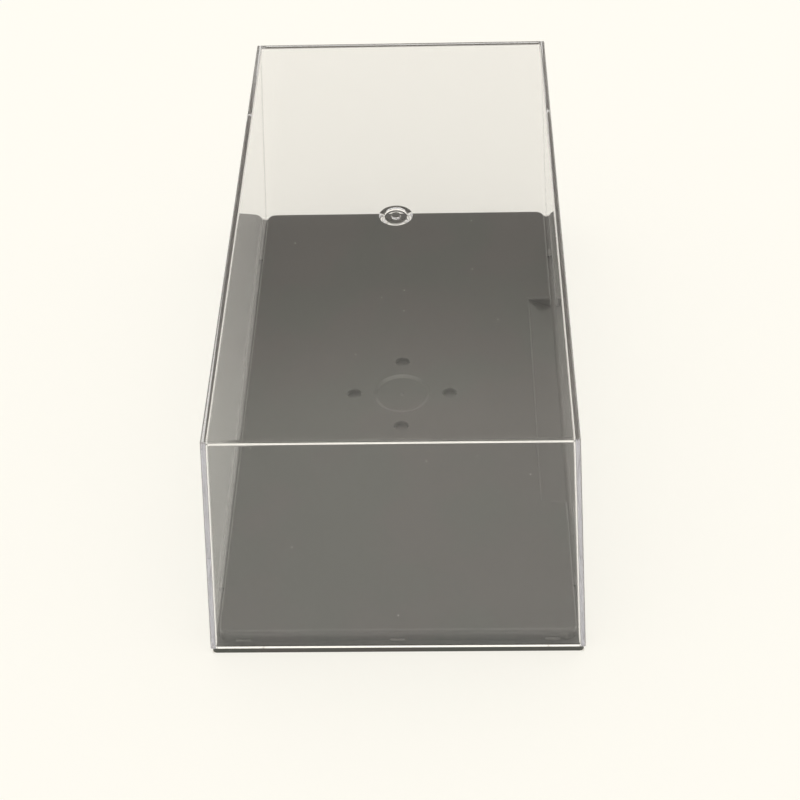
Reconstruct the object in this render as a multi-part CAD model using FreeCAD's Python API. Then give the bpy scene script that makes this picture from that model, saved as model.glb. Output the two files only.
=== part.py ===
import FreeCAD, Part
import math
import os

# A clear lift-off display case: a one-piece tapered cover that stands on a one-piece black base.
# Millimetres, +Z up. The origin is the centre of the base's underside, X is the width and Y the depth.
# The label slope is on the +X side of the base.

# Cover, measured across its open rim
case_width = 120.0
case_depth = 232.0
cover_height = 86.0
cover_wall = 1.5
cover_roof = 1.5
cover_draft_deg = 3.3
cover_outer_round = 0.5
cover_inner_round = 0.75
rim_clearance = 0.05

# Moulding gate in the roof's middle: a well outside, a cone-sided pad below it and the stub left in the well
well_diameter = 7.6
well_depth = 1.2
pad_diameter = 11.3
pad_flank_deg = 33.0
stub_diameter = 3.2
stub_height = 0.9
stub_draft_deg = 10.0

# Base flange that the cover stands on
flange_thickness = 2.5
flange_setback = 0.4
flange_corner_radius = 1.6
flange_edge_round = 0.3

# Raised platform that the cover slips over
platform_rise = 4.5
platform_side_gap = 1.0
platform_end_gap = 2.1
platform_corner_radius = 3.5
platform_edge_round = 1.0
base_skin = 2.8

# Label slope cut into the platform's +X edge: a step down at its inner edge, then an even fall outwards
slope_length = 108.6
slope_width = 8.8
slope_step = 0.8
slope_fall = 3.6
slope_edge_round = 0.75

# Locating ribs on the platform's sides
rib_length = 4.7
rib_radius = 0.5
rib_rise = 0.9
rib_clearance = 0.15
front_rib_count = 3
front_rib_spacing = 49.5
side_rib_count = 2
side_rib_spacing = 176.0

# Blind holes that locate a displayed model, in a cross about the platform's middle
hole_count = 4
hole_diameter = 5.0
hole_depth = 1.8
hole_circle_diameter = 35.0
hole_rim_round = 0.4

# Shallow dish and nub where the base's own gate was
dish_diameter = 20.8
dish_depth = 0.6
dish_wall_width = 1.45
nub_diameter = 1.6
nub_tip_diameter = 0.3
nub_height = 0.3

# Values that follow from the sizes above
rim_level = flange_thickness + rim_clearance
cover_top = rim_level + cover_height
ceiling_level = cover_top - cover_roof
platform_top = flange_thickness + platform_rise
platform_width = case_width - 2 * cover_wall - 2 * platform_side_gap
platform_depth = case_depth - 2 * cover_wall - 2 * platform_end_gap
slope_inner_edge = platform_width / 2 - slope_width
slope_gradient = slope_fall / slope_width
rib_level = flange_thickness + rib_rise
rib_proud = platform_side_gap - rib_clearance
right_angle_deg = 90.0
full_turn_deg = 360.0
level_tolerance = 1e-6

origin = FreeCAD.Vector(0, 0, 0)
x_axis = FreeCAD.Vector(1, 0, 0)
y_axis = FreeCAD.Vector(0, 1, 0)
z_axis = FreeCAD.Vector(0, 0, 1)


def lean(height, draft_deg):
    """How far a wall that leans by draft_deg moves inwards over a height."""
    return height * math.tan(math.radians(draft_deg))


def tapered_block(width, depth, bottom, top, draft_deg):
    """Block of width by depth at its bottom face, with all four sides leaning inwards."""
    inward = lean(top - bottom, draft_deg)
    half_width = width / 2
    half_depth = depth / 2
    block = Part.makeWedge(
        -half_width, bottom, -half_depth, inward - half_depth, inward - half_width,
        half_width, top, half_depth, half_depth - inward, half_width - inward)
    block.rotate(origin, x_axis, right_angle_deg)
    return block


def upright_edges(shape):
    """Edges that climb from one level to another."""
    return [edge for edge in shape.Edges if edge.BoundBox.ZLength > level_tolerance]


def level_edges(shape, level):
    """Edges that lie at one level all along."""
    def lies_there(edge):
        box = edge.BoundBox
        return max(abs(box.ZMin - level), abs(box.ZMax - level)) < level_tolerance
    return [edge for edge in shape.Edges if lies_there(edge)]


def rim_edges(shape, radius, level):
    """Circular edges of one radius at one level."""
    def is_rim(edge):
        return isinstance(edge.Curve, Part.Circle) and abs(edge.Curve.Radius - radius) < level_tolerance
    return [edge for edge in level_edges(shape, level) if is_rim(edge)]


def row_of_places(count, spacing):
    """Evenly spaced places along a line, centred on zero."""
    return [(index - (count - 1) / 2) * spacing for index in range(count)]


def above_slope(length, inset, lowered):
    """Everything over the label slope, its inner edge moved in by inset and its plane down by lowered."""
    def plane_level(x):
        return platform_top - slope_step - lowered - slope_gradient * (x - slope_inner_edge)
    inner = slope_inner_edge - inset
    outer = platform_width / 2 + cover_wall
    ceiling = platform_top + platform_rise
    corners = [
        FreeCAD.Vector(inner, -length / 2, plane_level(inner)),
        FreeCAD.Vector(outer, -length / 2, plane_level(outer)),
        FreeCAD.Vector(outer, -length / 2, ceiling),
        FreeCAD.Vector(inner, -length / 2, ceiling),
    ]
    section = Part.Face(Part.makePolygon(corners + corners[:1]))
    return section.extrude(y_axis * length)


def flange():
    """Flat plate under the cover's rim, with rounded corners and eased edges."""
    width = case_width - 2 * flange_setback
    depth = case_depth - 2 * flange_setback
    plate = tapered_block(width, depth, 0, flange_thickness, 0)
    plate = plate.makeFillet(flange_corner_radius, upright_edges(plate))
    return plate.makeFillet(flange_edge_round, level_edges(plate, flange_thickness))


def raised_platform():
    """Platform inside the cover, with the label slope cut into its edge."""
    block = tapered_block(platform_width, platform_depth, flange_thickness, platform_top, cover_draft_deg)
    block = block.makeFillet(platform_corner_radius, upright_edges(block))
    block = block.makeFillet(platform_edge_round, level_edges(block, platform_top))
    block = block.cut(above_slope(slope_length, 0, 0))

    def bounds_slope(edge):
        middle = edge.BoundBox.Center
        on_long_side = abs(middle.x - slope_inner_edge) < level_tolerance
        on_end = abs(abs(middle.y) - slope_length / 2) < level_tolerance
        return on_long_side or on_end
    slope_rim = [edge for edge in level_edges(block, platform_top) if bounds_slope(edge)]
    return block.makeFillet(slope_edge_round, slope_rim)


def locating_rib(along, across, face_axis, run_axis):
    """Round-nosed bar on a platform side, standing rib_proud of the leaning face at its own level."""
    face = across - lean(rib_level - flange_thickness, cover_draft_deg)
    start = along - rib_length / 2
    nose = face_axis * (face + rib_proud - rib_radius) + z_axis * rib_level + run_axis * start
    root = nose - face_axis * rib_proud
    half_height = z_axis * rib_radius
    corners = [root - half_height, nose - half_height, nose + half_height, root + half_height]
    bar = Part.Face(Part.makePolygon(corners + corners[:1])).extrude(run_axis * rib_length)
    return bar.fuse(Part.makeCylinder(rib_radius, rib_length, nose, run_axis))


def locating_ribs():
    """Ribs on the front, back and both long sides of the platform."""
    ribs = []
    for side in (-1, 1):
        for x in row_of_places(front_rib_count, front_rib_spacing):
            ribs.append(locating_rib(x, platform_depth / 2, y_axis * side, x_axis))
        for y in row_of_places(side_rib_count, side_rib_spacing):
            ribs.append(locating_rib(y, platform_width / 2, x_axis * side, y_axis))
    return ribs


def underside_hollow():
    """Space under the platform's skin, open at the bottom, that follows the label slope from below."""
    width = platform_width - 2 * base_skin
    depth = platform_depth - 2 * base_skin
    hollow = tapered_block(width, depth, 0, platform_top - base_skin, cover_draft_deg)
    corner_radius = max(platform_corner_radius - base_skin, platform_edge_round)
    hollow = hollow.makeFillet(corner_radius, upright_edges(hollow))
    skin_along_z = base_skin * math.hypot(1, slope_gradient)
    return hollow.cut(above_slope(slope_length + 2 * base_skin, base_skin, skin_along_z))


def locating_holes():
    """Cutters for the blind holes in the platform's skin."""
    floor = z_axis * (platform_top - hole_depth)
    cutters = []
    for index in range(hole_count):
        angle = math.radians(full_turn_deg * index / hole_count)
        place = FreeCAD.Vector(math.cos(angle), math.sin(angle), 0) * (hole_circle_diameter / 2)
        cutters.append(Part.makeCylinder(hole_diameter / 2, 2 * hole_depth, place + floor, z_axis))
    return cutters


def gate_dish():
    """Cutter for the shallow dish, whose wall slopes down to a flat floor."""
    floor = platform_top - dish_depth
    rim_radius = dish_diameter / 2
    return Part.makeCone(rim_radius - dish_wall_width, rim_radius, dish_depth, z_axis * floor, z_axis)


def gate_nub():
    """Small pointed remnant of the gate on the dish's floor."""
    floor = platform_top - dish_depth
    return Part.makeCone(nub_diameter / 2, nub_tip_diameter / 2, nub_height, z_axis * floor, z_axis)


def base():
    """Black base: flange, platform, ribs, hollow underside, locating holes and gate dish."""
    body = flange().fuse([raised_platform()] + locating_ribs()).removeSplitter()
    body = body.cut([underside_hollow(), gate_dish()] + locating_holes())
    body = body.makeFillet(hole_rim_round, rim_edges(body, hole_diameter / 2, platform_top))
    return body.fuse(gate_nub()).removeSplitter()


def gate_pad():
    """Pad under the roof that keeps the well's floor as thick as the roof, with a cone-shaped flank."""
    radius = pad_diameter / 2
    lower_end = ceiling_level - well_depth
    lower_radius = radius - well_depth / math.tan(math.radians(pad_flank_deg))
    flank = Part.makeCone(lower_radius, radius, well_depth, z_axis * lower_end, z_axis)
    root = Part.makeCylinder(radius, cover_roof / 2, z_axis * ceiling_level, z_axis)
    return flank.fuse(root)


def gate_well():
    """Cutter for the round well in the roof, from its floor to above the roof."""
    floor = cover_top - well_depth
    return Part.makeCylinder(well_diameter / 2, 2 * well_depth, z_axis * floor, z_axis)


def gate_stub():
    """Cut-off stub of the gate standing on the well's floor."""
    floor = cover_top - well_depth
    foot_radius = stub_diameter / 2
    tip_radius = foot_radius - lean(stub_height, stub_draft_deg)
    return Part.makeCone(foot_radius, tip_radius, stub_height, z_axis * floor, z_axis)


def cover():
    """Clear tapered cover, open at its rim, with the gate well in its roof."""
    outside = tapered_block(case_width, case_depth, rim_level, cover_top, cover_draft_deg)
    outside = outside.makeFillet(cover_outer_round, upright_edges(outside) + level_edges(outside, cover_top))
    inner_width = case_width - 2 * cover_wall
    inner_depth = case_depth - 2 * cover_wall
    inside = tapered_block(inner_width, inner_depth, rim_level, ceiling_level, cover_draft_deg)
    inside = inside.makeFillet(cover_inner_round, upright_edges(inside) + level_edges(inside, ceiling_level))
    shell = outside.cut(inside).fuse(gate_pad()).removeSplitter()
    return shell.cut(gate_well()).fuse(gate_stub()).removeSplitter()


os.makedirs("parts", exist_ok=True)
for node_name, make_piece in (("base", base), ("cover", cover)):
    piece = make_piece()
    piece.exportStep("parts/" + node_name + ".step")
    print(node_name, "solids", len(piece.Solids), "valid", piece.isValid(), "volume", round(piece.Volume, 1))
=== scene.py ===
import math

import bmesh
import bpy
from mathutils import Matrix, Vector


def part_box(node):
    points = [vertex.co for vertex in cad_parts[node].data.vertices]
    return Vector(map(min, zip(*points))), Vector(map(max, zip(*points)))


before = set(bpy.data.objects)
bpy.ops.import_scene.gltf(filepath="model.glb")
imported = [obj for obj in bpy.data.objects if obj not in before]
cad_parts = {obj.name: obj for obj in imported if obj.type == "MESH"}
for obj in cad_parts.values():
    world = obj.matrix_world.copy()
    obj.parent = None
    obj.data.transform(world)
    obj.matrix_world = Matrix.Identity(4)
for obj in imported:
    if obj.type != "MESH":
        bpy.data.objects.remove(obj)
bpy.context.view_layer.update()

# Metres, in the part's own frame: X is the width, Y the depth away from the camera, Z up.
base_low, base_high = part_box("base")
millimetre = 0.001

# Photograph's camera, worked out from the corners of the case in the picture
image_side_px = 800
focal_length_px = 1730.4
sensor_width_mm = 36.0
camera_place = Vector((0.01719, -0.47310, 0.43160))
camera_pitch_deg = 42.067
camera_yaw_deg = -2.181
camera_roll_deg = -2.052
camera_nearest = 0.01

# Table top: a matt pale sheet that looks evenly lit and keeps part of the case's shadow
table_half_size = 12.0
table_paint = (0.97, 0.955, 0.915, 1.0)
table_glow = (1.0, 0.982, 0.915, 1.0)
table_glow_share = 0.75

# Room light: pairs of the sine of the angle above the horizon and how bright the room is at that angle
room_tint = (1.0, 0.965, 0.88)
room_levels = (
    (0.0, 0.95), (0.5, 0.8), (0.56, 0.52), (0.592, 0.4), (0.615, 0.45),
    (0.643, 0.62), (0.675, 0.9), (0.695, 0.95), (0.75, 0.8), (0.866, 1.25), (0.94, 1.9), (1.0, 2.1))
ceiling_sine, ceiling_level = room_levels[-1]

# Light goes to and fro many times inside the clear walls before it leaves them
clear_wall_bounces = 48
clear_depth_bounces = 4

# Noise patterns of the finishes below: layers counts a pattern's finer and finer levels, and turn is the
# stretch of its values over which the finish goes from one look to the other.
unstretched = (1.0, 1.0, 1.0)

# Clear moulding: polished, with a trace of tint and haze that shows only along the walls' length
clear_ior = 1.59
clear_transmission = 1.0
clear_tint = (1.0, 0.995, 0.99, 1.0)
clear_depth_tint = (0.5, 0.3, 1.0, 1.0)
clear_depth_density = 0.5
clear_depth_haze = (1.0, 0.94, 0.86, 1.0)
clear_depth_haze_density = 4.0
clear_handling_patch = 30 * millimetre
clear_handling_layers = 4.0
clear_handling_turn = (0.45, 0.75)
clear_handling_roughness = 0.02
clear_wave_length = 40 * millimetre
clear_wave_layers = 1.0
clear_wave_depth = 0.003 * millimetre

# Black moulding: polished, with cloudy haze, lengthwise rub marks and a colour cast that shifts
black_ior = 1.72
black_green_cast = (0.015, 0.02, 0.011, 1.0)
black_brown_cast = (0.026, 0.019, 0.015, 1.0)
black_cast_patch = 35 * millimetre
black_cast_layers = 2.0
black_cast_turn = (0.4, 0.6)
black_haze_patch = 28 * millimetre
black_haze_layers = 3.0
black_haze_turn = (0.35, 0.65)
black_least_roughness = 0.28
black_most_roughness = 0.33
black_rub_length = 100 * millimetre
black_rub_width = 6 * millimetre
black_rub_layers = 4.0
black_rub_turn = (0.62, 0.7)
black_rub_roughness = 0.03
black_grain_size = 0.8 * millimetre
black_grain_layers = 2.0
black_grain_depth = 0.004 * millimetre

# Dust specks that lie on faces that look up, by the upward part of the face's direction
dust_colour = (0.34, 0.33, 0.3, 1.0)
dust_spacing = 9 * millimetre
dust_share = 0.04
dust_least_radius = 0.2 * millimetre
dust_most_radius = 0.4 * millimetre
dust_upward_turn = (0.7, 0.95)


class Recipe:
    """A material's node tree, with short calls for the nodes that the finishes here are made of."""

    def __init__(self, name):
        self.material = bpy.data.materials.new(name)
        self.material.use_nodes = True
        self.nodes = self.material.node_tree.nodes
        self.links = self.material.node_tree.links
        self.nodes.clear()
        self.output = self.nodes.new("ShaderNodeOutputMaterial")

    def feed(self, value, socket):
        """Links an output to a socket, or sets the socket where the value is a plain one."""
        if isinstance(value, bpy.types.NodeSocket):
            self.links.new(value, socket)
        else:
            socket.default_value = value

    def place(self, stretch=unstretched):
        """Place on the piece, in metres, stretched along its axes."""
        source = self.nodes.new("ShaderNodeTexCoord")
        mapping = self.nodes.new("ShaderNodeMapping")
        mapping.inputs["Scale"].default_value = stretch
        self.links.new(source.outputs["Object"], mapping.inputs["Vector"])
        return mapping.outputs["Vector"]

    def noise(self, patch_size, layers, stretch=unstretched):
        """Soft cloudy pattern whose patches are about patch_size across."""
        node = self.nodes.new("ShaderNodeTexNoise")
        node.inputs["Scale"].default_value = 1 / patch_size
        node.inputs["Detail"].default_value = layers
        self.links.new(self.place(stretch), node.inputs["Vector"])
        return node.outputs["Fac"]

    def ramp(self, value, turn, low=0.0, high=1.0):
        """Goes smoothly from low to high while value goes through the turn, and holds outside it."""
        node = self.nodes.new("ShaderNodeMapRange")
        node.interpolation_type = "SMOOTHSTEP"
        start, end = turn
        self.feed(value, node.inputs["Value"])
        self.feed(start, node.inputs["From Min"])
        self.feed(end, node.inputs["From Max"])
        self.feed(low, node.inputs["To Min"])
        self.feed(high, node.inputs["To Max"])
        return node.outputs["Result"]

    def arithmetic(self, operation, first, second):
        """One step of arithmetic on two values."""
        node = self.nodes.new("ShaderNodeMath")
        node.operation = operation
        self.feed(first, node.inputs[0])
        self.feed(second, node.inputs[1])
        return node.outputs["Value"]

    def blend(self, share, first, second):
        """Colour between first and second."""
        node = self.nodes.new("ShaderNodeMix")
        node.data_type = "RGBA"
        sockets = {socket.identifier: socket for socket in node.inputs}
        self.feed(share, sockets["Factor_Float"])
        self.feed(first, sockets["A_Color"])
        self.feed(second, sockets["B_Color"])
        return next(socket for socket in node.outputs if socket.identifier == "Result_Color")

    def bump(self, height, depth):
        """Normal of a surface that rises and falls by depth."""
        node = self.nodes.new("ShaderNodeBump")
        node.inputs["Distance"].default_value = depth
        self.links.new(height, node.inputs["Height"])
        return node.outputs["Normal"]

    def paint(self, colour):
        """Matt paint of one colour."""
        node = self.nodes.new("ShaderNodeBsdfDiffuse")
        node.inputs["Color"].default_value = colour
        return node.outputs["BSDF"]

    def surface(self, **values):
        """Main shader, with its sockets fed by name."""
        shader = self.nodes.new("ShaderNodeBsdfPrincipled")
        for name, value in values.items():
            self.feed(value, shader.inputs[name.replace("_", " ")])
        self.links.new(shader.outputs["BSDF"], self.output.inputs["Surface"])


def dust(recipe):
    """How far each point is covered by dust: a few round specks on the faces that look up."""
    cells = recipe.nodes.new("ShaderNodeTexVoronoi")
    cells.voronoi_dimensions = "2D"
    cells.inputs["Scale"].default_value = 1 / dust_spacing
    recipe.links.new(recipe.place(), cells.inputs["Vector"])
    lot = recipe.nodes.new("ShaderNodeSeparateColor")
    recipe.links.new(cells.outputs["Color"], lot.inputs["Color"])
    chosen = recipe.arithmetic("LESS_THAN", lot.outputs["Red"], dust_share)
    speck_edge = (dust_least_radius / dust_spacing, dust_most_radius / dust_spacing)
    speck = recipe.ramp(cells.outputs["Distance"], speck_edge, low=1.0, high=0.0)
    geometry = recipe.nodes.new("ShaderNodeNewGeometry")
    facing = recipe.nodes.new("ShaderNodeSeparateXYZ")
    recipe.links.new(geometry.outputs["Normal"], facing.inputs["Vector"])
    upward = recipe.ramp(facing.outputs["Z"], dust_upward_turn)
    return recipe.arithmetic("MULTIPLY", recipe.arithmetic("MULTIPLY", speck, chosen), upward)


def black_moulding():
    """Black base: a cloudy polish with rub marks, a shifting colour cast, fine grain and a little dust."""
    recipe = Recipe("black_moulding")
    cast = recipe.ramp(recipe.noise(black_cast_patch, black_cast_layers), black_cast_turn)
    colour = recipe.blend(cast, black_green_cast, black_brown_cast)
    colour = recipe.blend(dust(recipe), colour, dust_colour)
    haze = recipe.noise(black_haze_patch, black_haze_layers)
    roughness = recipe.ramp(haze, black_haze_turn, black_least_roughness, black_most_roughness)
    lengthwise = (1.0, black_rub_width / black_rub_length, 1.0)
    streaks = recipe.noise(black_rub_width, black_rub_layers, lengthwise)
    rubs = recipe.ramp(streaks, black_rub_turn, high=black_rub_roughness)
    roughness = recipe.arithmetic("ADD", roughness, rubs)
    grain = recipe.bump(recipe.noise(black_grain_size, black_grain_layers), black_grain_depth)
    recipe.surface(Base_Color=colour, Roughness=roughness, IOR=black_ior, Normal=grain)
    return recipe.material


def milky_depth(recipe):
    """Fills the clear walls with a trace of tint and of haze."""
    tint = recipe.nodes.new("ShaderNodeVolumeAbsorption")
    tint.inputs["Color"].default_value = clear_depth_tint
    tint.inputs["Density"].default_value = clear_depth_density
    haze = recipe.nodes.new("ShaderNodeVolumeScatter")
    haze.inputs["Color"].default_value = clear_depth_haze
    haze.inputs["Density"].default_value = clear_depth_haze_density
    both = recipe.nodes.new("ShaderNodeAddShader")
    recipe.links.new(tint.outputs["Volume"], both.inputs[0])
    recipe.links.new(haze.outputs["Volume"], both.inputs[1])
    recipe.links.new(both.outputs["Shader"], recipe.output.inputs["Volume"])


def clear_moulding():
    """Clear cover: polished, with faint handling haze, a slight waviness and a milky depth."""
    recipe = Recipe("clear_moulding")
    handling = recipe.noise(clear_handling_patch, clear_handling_layers)
    roughness = recipe.ramp(handling, clear_handling_turn, high=clear_handling_roughness)
    waves = recipe.bump(recipe.noise(clear_wave_length, clear_wave_layers), clear_wave_depth)
    recipe.surface(
        Base_Color=clear_tint, Roughness=roughness, IOR=clear_ior,
        Transmission_Weight=clear_transmission, Normal=waves)
    milky_depth(recipe)
    return recipe.material


def shaded_table():
    """Matt paint alone, for the table under the case."""
    recipe = Recipe("shaded_table")
    recipe.links.new(recipe.paint(table_paint), recipe.output.inputs["Surface"])
    return recipe.material


def open_table():
    """Matt paint that also glows to the eye, whether seen straight, mirrored or through clear walls."""
    recipe = Recipe("open_table")
    glow = recipe.nodes.new("ShaderNodeEmission")
    glow.inputs["Color"].default_value = table_glow
    path = recipe.nodes.new("ShaderNodeLightPath")
    seen = recipe.arithmetic("MAXIMUM", path.outputs["Is Camera Ray"], path.outputs["Is Glossy Ray"])
    seen = recipe.arithmetic("MAXIMUM", seen, path.outputs["Is Transmission Ray"])
    mix = recipe.nodes.new("ShaderNodeMixShader")
    recipe.feed(recipe.arithmetic("MULTIPLY", seen, table_glow_share), mix.inputs["Fac"])
    recipe.links.new(recipe.paint(table_paint), mix.inputs[1])
    recipe.links.new(glow.outputs["Emission"], mix.inputs[2])
    recipe.links.new(mix.outputs["Shader"], recipe.output.inputs["Surface"])
    return recipe.material


def dress(node_name, material):
    """Gives a node's mesh one material."""
    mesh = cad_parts[node_name].data
    mesh.materials.clear()
    mesh.materials.append(material)


def table_top():
    """Wide flat table, with a finish of its own for the part that the case stands on."""
    mesh = bpy.data.meshes.new("table_top")
    shape = bmesh.new()
    bmesh.ops.create_grid(shape, x_segments=1, y_segments=1, size=table_half_size)
    for corner in (base_low, base_high):
        for across in (Vector((1, 0, 0)), Vector((0, 1, 0))):
            everything = shape.verts[:] + shape.edges[:] + shape.faces[:]
            bmesh.ops.bisect_plane(shape, geom=everything, plane_co=corner, plane_no=across)
    for face in shape.faces:
        middle = face.calc_center_median()
        under_case = base_low.x < middle.x < base_high.x and base_low.y < middle.y < base_high.y
        face.material_index = int(under_case)
    shape.to_mesh(mesh)
    shape.free()
    mesh.materials.append(open_table())
    mesh.materials.append(shaded_table())
    table = bpy.data.objects.new("table_top", mesh)
    bpy.context.scene.collection.objects.link(table)


def room_light():
    """Soft light from all round: a pale backdrop, a dimmer band above it and a bright ceiling."""
    world = bpy.data.worlds.new("room")
    bpy.context.scene.world = world
    world.use_nodes = True
    nodes = world.node_tree.nodes
    links = world.node_tree.links
    nodes.clear()
    output = nodes.new("ShaderNodeOutputWorld")
    background = nodes.new("ShaderNodeBackground")
    place = nodes.new("ShaderNodeTexCoord")
    split = nodes.new("ShaderNodeSeparateXYZ")
    ramp = nodes.new("ShaderNodeValToRGB")
    links.new(place.outputs["Generated"], split.inputs["Vector"])
    links.new(split.outputs["Z"], ramp.inputs["Fac"])
    links.new(ramp.outputs["Color"], background.inputs["Color"])
    links.new(background.outputs["Background"], output.inputs["Surface"])
    background.inputs["Strength"].default_value = ceiling_level
    elements = ramp.color_ramp.elements
    while len(elements) < len(room_levels):
        elements.new(ceiling_sine)
    for element, (sine, level) in zip(elements, room_levels):
        element.position = sine
        element.color = [part * level / ceiling_level for part in room_tint] + [1.0]


def light_paths():
    """Lets light cross as many clear walls as it needs to."""
    cycles = bpy.context.scene.cycles
    cycles.max_bounces = clear_wall_bounces
    cycles.glossy_bounces = clear_wall_bounces
    cycles.transmission_bounces = clear_wall_bounces
    cycles.transparent_max_bounces = clear_wall_bounces
    cycles.volume_bounces = clear_depth_bounces


def photo_camera():
    """Camera at the photograph's place and angle."""
    data = bpy.data.cameras.new("photo_camera")
    data.sensor_width = sensor_width_mm
    data.lens = focal_length_px / image_side_px * sensor_width_mm
    data.clip_start = camera_nearest
    camera = bpy.data.objects.new("photo_camera", data)
    bpy.context.scene.collection.objects.link(camera)
    pitch = math.radians(camera_pitch_deg)
    yaw = math.radians(camera_yaw_deg)
    roll = math.radians(camera_roll_deg)
    level_forward = Vector((math.sin(yaw), math.cos(yaw), 0))
    level_right = Vector((math.cos(yaw), -math.sin(yaw), 0))
    forward = level_forward * math.cos(pitch) - Vector((0, 0, math.sin(pitch)))
    upright = level_right.cross(forward)
    turn = Matrix.Rotation(-roll, 3, forward)
    axes = Matrix((turn @ level_right, turn @ upright, -forward)).transposed()
    camera.matrix_world = Matrix.Translation(camera_place) @ axes.to_4x4()
    bpy.context.scene.camera = camera


dress("base", black_moulding())
dress("cover", clear_moulding())
table_top()
room_light()
light_paths()
photo_camera()
bpy.context.scene.view_settings.view_transform = "Standard"
